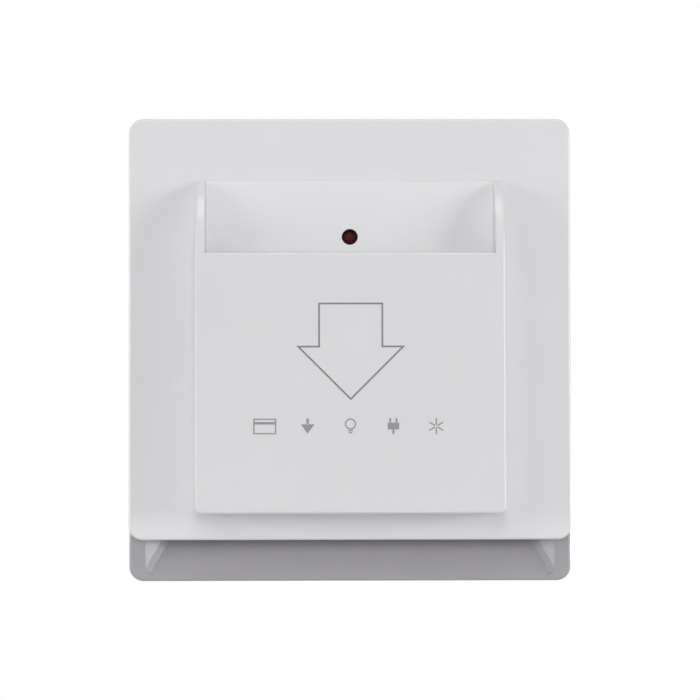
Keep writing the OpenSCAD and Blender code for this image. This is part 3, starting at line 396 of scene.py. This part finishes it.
plated("screw_steel", (196, 198, 200), rough=0.3)
plated("tinned_wire", (205, 206, 208), rough=0.28, lines=ALONG_DEPTH)
plated("pin_steel", (190, 191, 194), rough=0.22, lines=ALONG_WIDTH)
plated("spring_steel", (170, 172, 176), rough=0.25)
plated("bar_brass", (212, 172, 92), rough=0.3, lines=ALONG_DEPTH)
plated("clamp_steel", (198, 196, 186), rough=0.34, lines=ALONG_DEPTH)
print("metals added, finishes so far", len(finishes))

# %% [markdown]
# The board and its components are seen through the vents, the windows and when the front
# is off. Each has its own maker's finish. The board wears solder mask over copper tracks,
# which are the edges of square cells. The film capacitor's box is cast in resin and the
# varistor's disc dipped in lacquer, and both ran a little before they set.

# %% Board and dipped components
TRACK_CELL_MM, TRACK_RANDOM, TRACK_HALF = 5, 0.6, 0.12
TRACK_HEIGHT_MM, TRACK_STRENGTH = 0.03, 0.6
MASK_DARK, MASK_PALE, MASK_ON_COPPER = (18, 74, 44), (26, 88, 52), (44, 120, 70)
MASK_SHADE_MM, MASK_GLOSS_MM = 12, 3
LACQUER_MM, LACQUER_DRIFT, LACQUER_STRENGTH = 4, 14, 0.6
SOFT_SPREAD = 0.1


def solder_mask(name, rough):
    shader, spot = new_finish(name)
    cells = spot.node(
        "ShaderNodeTexVoronoi", {"feature": "DISTANCE_TO_EDGE", "distance": "MANHATTAN"},
        {"Vector": spot, "Scale": 1 / (TRACK_CELL_MM * MM), "Randomness": TRACK_RANDOM},
    )
    track = cells < TRACK_HALF
    shade = blend(noise(spot, MASK_SHADE_MM), ink(MASK_DARK), ink(MASK_PALE))
    feed(
        shader,
        colour=blend(track, shade, ink(MASK_ON_COPPER)),
        normal=bump(track, TRACK_HEIGHT_MM, TRACK_STRENGTH),
        rough=around(rough, SOFT_SPREAD, noise(spot, MASK_GLOSS_MM)),
    )


def dipped(name, colour, rough, wave_mm, wave_depth_mm):
    shader, spot = new_finish(name)
    run = noise(spot, wave_mm)
    feed(
        shader,
        colour=blend(noise(spot, LACQUER_MM), ink(colour, -LACQUER_DRIFT), ink(colour)),
        normal=bump(run, wave_depth_mm, LACQUER_STRENGTH),
        rough=around(rough, SOFT_SPREAD, run),
    )


solder_mask("board_green", rough=0.33)
dipped("film_yellow", (214, 164, 40), rough=0.4, wave_mm=6, wave_depth_mm=0.1)
dipped("disc_blue", (52, 92, 150), rough=0.45, wave_mm=1.2, wave_depth_mm=0.08)
print("board and dipped finishes added, finishes so far", len(finishes))

# %% [markdown]
# The round components carry rings or a stripe: four colours on the resistors, a pale end
# on the diodes, a pale stripe down the capacitor's printed sleeve. The rings are cut from
# the part's own coordinates, so they lie at places that are measured from each node.

# %% Banded components
SHADE_MM, SHADE_DRIFT = 3, 10
SHEEN_MM = 1.5
SKIN_MM, SKIN_DEPTH_MM, SKIN_STRENGTH = 0.5, 0.01, 0.4


def band(value, middle, half_width):
    """1 where value lies within half_width of middle."""
    return abs(value - middle) < half_width


def banded(name, colour, rough, axis, bands):
    """A body with rings of colour: bands of (middle, half width, colour) along an axis, in mm."""
    shader, spot = new_finish(name)
    along = spot.node("ShaderNodeSeparateXYZ", None, {0: spot}, out=axis) / MM
    shade = blend(noise(spot, SHADE_MM), ink(colour, -SHADE_DRIFT), ink(colour))
    for middle, half_width, tint in bands:
        shade = blend(band(along, middle, half_width), shade, ink(tint))
    feed(
        shader,
        colour=shade,
        rough=around(rough, SOFT_SPREAD, noise(spot, SHEEN_MM)),
        normal=bump(noise(spot, SKIN_MM), SKIN_DEPTH_MM, SKIN_STRENGTH),
    )


def node_middle(node):
    """A node's middle in the model's frame, in mm."""
    low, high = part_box(node)
    return (low + high) / 2 / MM


resistor_x = node_middle("resistors").x
diode_z = node_middle("rectifier_diodes").z
can_x = node_middle("smoothing_capacitor").x
RING_HALF = 0.35
RESISTOR_RINGS = [
    (-2.2, (120, 62, 24)), (-1.1, (20, 20, 20)), (0.0, (178, 34, 28)), (2.0, (190, 150, 60)),
]
CAN_STRIPE = (can_x - 3.2, 0.9, (190, 192, 198))
DIODE_END = (diode_z + 1.6, 0.4, (196, 196, 196))
rings = [(resistor_x + x, RING_HALF, tint) for x, tint in RESISTOR_RINGS]
banded("can_sleeve", (34, 38, 70), rough=0.35, axis="X", bands=[CAN_STRIPE])
banded("resistor_tan", (204, 176, 132), rough=0.4, axis="X", bands=rings)
banded("black_resin", (26, 26, 28), rough=0.45, axis="Z", bands=[DIODE_END])
print("banded finishes added, finishes so far", len(finishes))

# %% [markdown]
# The lamp is a small round diode cast in red resin, dark while it is off. Real ones look
# nearly black-red with a faint spark where the surround mirrors in the dome. A deep red
# with a low shine gives that; noise keeps the resin from being one flat tone. With it the
# set is complete, and each node takes the finish that the record names as its slot.

# %% Lamp, and a finish for each node
RED_DARK, RED_PALE = (58, 16, 17), (84, 24, 24)
RED_SHADE_MM, RED_GLOSS_MM = 0.8, 1.0
RED_ROUGH, RED_SHINE = 0.25, 0.15

shader, spot = new_finish("lamp_red")
feed(
    shader,
    colour=blend(noise(spot, RED_SHADE_MM), ink(RED_DARK), ink(RED_PALE)),
    rough=around(RED_ROUGH, SOFT_SPREAD, noise(spot, RED_GLOSS_MM)),
)
shader.inputs["Specular IOR Level"].default_value = RED_SHINE

for row in frame["record"]["subparts"]:
    part = nodes[row["node"]]
    part.data.materials.clear()
    part.data.materials.append(finishes[row["material_slot"]])

# %% [markdown]
# Print is a coat of ink on a flat face. Its shapes are drawn as faces in the wall's view;
# they are then drawn out by the ink's thickness and laid on the pocket's front, where they
# sink in a little so that no gap shows. An outline is a face that is inset by the line's
# width and loses its inner face. Ink never covers quite evenly, so its tone varies.

# %% Helpers for print
INK_MM = 0.03
INK_BITE_MM = 0.01
INK_DRIFT, INK_SHADE_MM, INK_GLOSS_MM = 12, 0.4, 0.8
INK_ROUGH = 0.5
pocket_front = -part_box("card_pocket")[0].y / MM


def printed(name, colour):
    shader, spot = new_finish(name)
    feed(
        shader,
        colour=blend(noise(spot, INK_SHADE_MM), ink(colour), ink(colour, INK_DRIFT)),
        rough=around(INK_ROUGH, SOFT_SPREAD, noise(spot, INK_GLOSS_MM)),
    )


def flat_face(bm, corners):
    face = bm.faces.new([bm.verts.new((x, y, 0)) for x, y in corners])
    face.normal_update()
    return face


def outline(bm, face, line):
    """Keeps a rim of the face, line wide."""
    bmesh.ops.inset_region(bm, faces=[face], thickness=line, use_even_offset=True, use_boundary=True)
    bmesh.ops.delete(bm, geom=[face], context="FACES")


def draw_out(bm, faces, height):
    """Gives flat faces a height, and returns the corners on top."""
    made = bmesh.ops.extrude_face_region(bm, geom=faces)
    raised = [item for item in made["geom"] if isinstance(item, bmesh.types.BMVert)]
    bmesh.ops.translate(bm, vec=(0, 0, height), verts=raised)
    return raised


def add_piece(name, bm, finish, body):
    bmesh.ops.recalc_face_normals(bm, faces=bm.faces)
    mesh = bpy.data.meshes.new(name)
    bm.to_mesh(mesh)
    bm.free()
    mesh.materials.append(finish)
    piece = bpy.data.objects.new(name, mesh)
    scene.collection.objects.link(piece)
    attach(piece, body)
    print(name, len(mesh.polygons), "faces")


def print_on_pocket(name, bm, finish):
    draw_out(bm, bm.faces[:], INK_MM)
    bmesh.ops.translate(bm, vec=(0, 0, pocket_front - INK_BITE_MM), verts=bm.verts)
    bmesh.ops.transform(bm, matrix=WALL, verts=bm.verts)
    add_piece(name, bm, finish, "front")


print("print lies", round(pocket_front, 2), "mm in front of the wall")

# %% [markdown]
# An arrow printed on the pocket's front shows which way the card goes in. It is a thin
# grey line round an arrow's outline, which has seven corners.

# %% Printed arrow
ARROW_LINE = 0.33
ARROW_X = 0.08
STEM_HALF, HEAD_HALF = 6.22, 10.46
ARROW_TOP, ARROW_SHOULDER, ARROW_TIP = 8.5, 0.25, -10.2

printed("arrow_ink", (122, 122, 124))
bm = bmesh.new()
arrow = flat_face(bm, [(ARROW_X + x, y) for x, y in (
    (-STEM_HALF, ARROW_TOP),
    (-STEM_HALF, ARROW_SHOULDER),
    (-HEAD_HALF, ARROW_SHOULDER),
    (0, ARROW_TIP),
    (HEAD_HALF, ARROW_SHOULDER),
    (STEM_HALF, ARROW_SHOULDER),
    (STEM_HALF, ARROW_TOP),
)])
outline(bm, arrow, ARROW_LINE)
print_on_pocket("printed_arrow", bm, finishes["arrow_ink"])

# %% [markdown]
# Under the arrow, such switches show what the card does. Here that is a row of five small
# signs that need no words: a card, the way down, a bulb, a plug and a star for the cooling.
# Each is drawn from a few flat faces: rings are circles with their middle taken out, and
# the star is one ray that spins round in six copies.

# %% Printed signs
SIGN_LINE = 0.26
SIGN_Y = -15.2
SIGN_STEP = 8.2
CARD_W, CARD_H = 4.4, 3.0
STRIPE_RISE, STRIPE_H = 0.62, 0.5
SHAFT_RISE, SHAFT_W, SHAFT_H = 1.0, 0.5, 1.0
POINT_HALF, POINT_RISE, POINT_DROP = 1.3, 0.4, 1.4
BULB_R, BULB_RISE = 1.08, 0.45
CAP_BARS, CAP_BAR_H = ((0.82, 1.0), (1.22, 0.7)), 0.24
PLUG_RISE, PLUG_W, PLUG_H = 0.05, 2.2, 1.3
CORD_DROP, CORD_W, CORD_H = 1.05, 0.4, 0.9
PRONG_OUT, PRONG_RISE, PRONG_W, PRONG_H = 0.6, 1.15, 0.36, 0.9
STAR_R, STAR_HOLE_R, STAR_RAYS = 1.55, 0.25, 6
ROUND_SIDES = 32


def bar(bm, x, y, width, height):
    left, right, low, high = x - width / 2, x + width / 2, y - height / 2, y + height / 2
    return flat_face(bm, [(left, low), (right, low), (right, high), (left, high)])


printed("sign_ink", (138, 138, 140))
bm = bmesh.new()
card_x, down_x, plug_x, star_x = (step * SIGN_STEP for step in (-2, -1, 1, 2))
outline(bm, bar(bm, card_x, SIGN_Y, CARD_W, CARD_H), SIGN_LINE)
bar(bm, card_x, SIGN_Y + STRIPE_RISE, CARD_W - 2 * SIGN_LINE, STRIPE_H)

bar(bm, down_x, SIGN_Y + SHAFT_RISE, SHAFT_W, SHAFT_H)
flat_face(bm, [
    (down_x - POINT_HALF, SIGN_Y + POINT_RISE),
    (down_x, SIGN_Y - POINT_DROP),
    (down_x + POINT_HALF, SIGN_Y + POINT_RISE),
])

bulb = bmesh.ops.create_circle(bm, cap_ends=True, segments=ROUND_SIDES, radius=BULB_R,
                               matrix=Matrix.Translation((0, SIGN_Y + BULB_RISE, 0)))
outline(bm, bulb["verts"][0].link_faces[0], SIGN_LINE)
for drop, width in CAP_BARS:
    bar(bm, 0, SIGN_Y - drop, width, CAP_BAR_H)

bar(bm, plug_x, SIGN_Y + PLUG_RISE, PLUG_W, PLUG_H)
bar(bm, plug_x, SIGN_Y - CORD_DROP, CORD_W, CORD_H)
for side in (-1, 1):
    bar(bm, plug_x + side * PRONG_OUT, SIGN_Y + PRONG_RISE, PRONG_W, PRONG_H)

ray = bar(bm, star_x, SIGN_Y + (STAR_R + STAR_HOLE_R) / 2, SIGN_LINE, STAR_R - STAR_HOLE_R)
copies = STAR_RAYS - 1
bmesh.ops.spin(bm, geom=[ray], cent=(star_x, SIGN_Y, 0), axis=(0, 0, 1),
               angle=math.tau * copies / STAR_RAYS, steps=copies, use_duplicate=True)
print_on_pocket("printed_signs", bm, finishes["sign_ink"])

# %% [markdown]
# On the back, such housings carry low raised marks for whoever fits them: an arrow that
# points up, and one, two or three dots over the terminals. They come out of the same mould
# as the housing, so their sides slope for it to let go. A dot is a cone with its tip cut
# off. The arrow is a flat face drawn out by the mark's height, with its upper edges
# bevelled. Both are drawn as one sees them from behind.

# %% Moulded marks
MARK_MM = 0.25
MARK_BITE_MM = 0.05
MARK_EDGE_MM = 0.1
DOT_R, DOT_TOP_R = 0.75, 0.5
DOT_STEP, DOT_RISE = 2.1, 2.4
TERMINALS = (1, 2, 3)
UP_X, UP_Y = -13, 11
UP_STEM_HALF, UP_HEAD_HALF = 1.0, 3.0
UP_FOOT, UP_SHOULDER, UP_TIP = -4.0, 0.6, 4.0

housing_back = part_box("rear_housing")[1].y / MM
dot_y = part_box("terminal_block")[1].z / MM + DOT_RISE
from_behind = WALL @ Matrix.Translation((0, 0, -housing_back)) @ Matrix.Rotation(math.pi, 4, "Y")
mark_height = MARK_MM + MARK_BITE_MM

bm = bmesh.new()
up_arrow = flat_face(bm, [(UP_X + x, UP_Y + y) for x, y in (
    (-UP_STEM_HALF, UP_FOOT),
    (UP_STEM_HALF, UP_FOOT),
    (UP_STEM_HALF, UP_SHOULDER),
    (UP_HEAD_HALF, UP_SHOULDER),
    (0, UP_TIP),
    (-UP_HEAD_HALF, UP_SHOULDER),
    (-UP_STEM_HALF, UP_SHOULDER),
)])
raised = draw_out(bm, [up_arrow], mark_height)
upper_edges = [edge for edge in bm.edges if all(vert in raised for vert in edge.verts)]
bmesh.ops.bevel(bm, geom=upper_edges, offset=MARK_EDGE_MM, affect="EDGES", segments=2, profile=0.5,
                material=-1)
for number in TERMINALS:
    screw_x = -node_middle("terminal_screw_%d" % number).x
    for i in range(number):
        dot_x = screw_x + (i - (number - 1) / 2) * DOT_STEP
        bmesh.ops.create_cone(bm, cap_ends=True, segments=ROUND_SIDES, radius1=DOT_R, radius2=DOT_TOP_R,
                              depth=mark_height, matrix=Matrix.Translation((dot_x, dot_y, mark_height / 2)))
bmesh.ops.translate(bm, vec=(0, 0, -MARK_BITE_MM), verts=bm.verts)
bmesh.ops.transform(bm, matrix=from_behind, verts=bm.verts)
add_piece("moulded_marks", bm, finishes["housing_white"], "base")

# %% [markdown] What was added hardly changes the part's size: the print stands a
# fiftieth of a millimetre proud of the front, and the marks a quarter of one proud of
# the back.
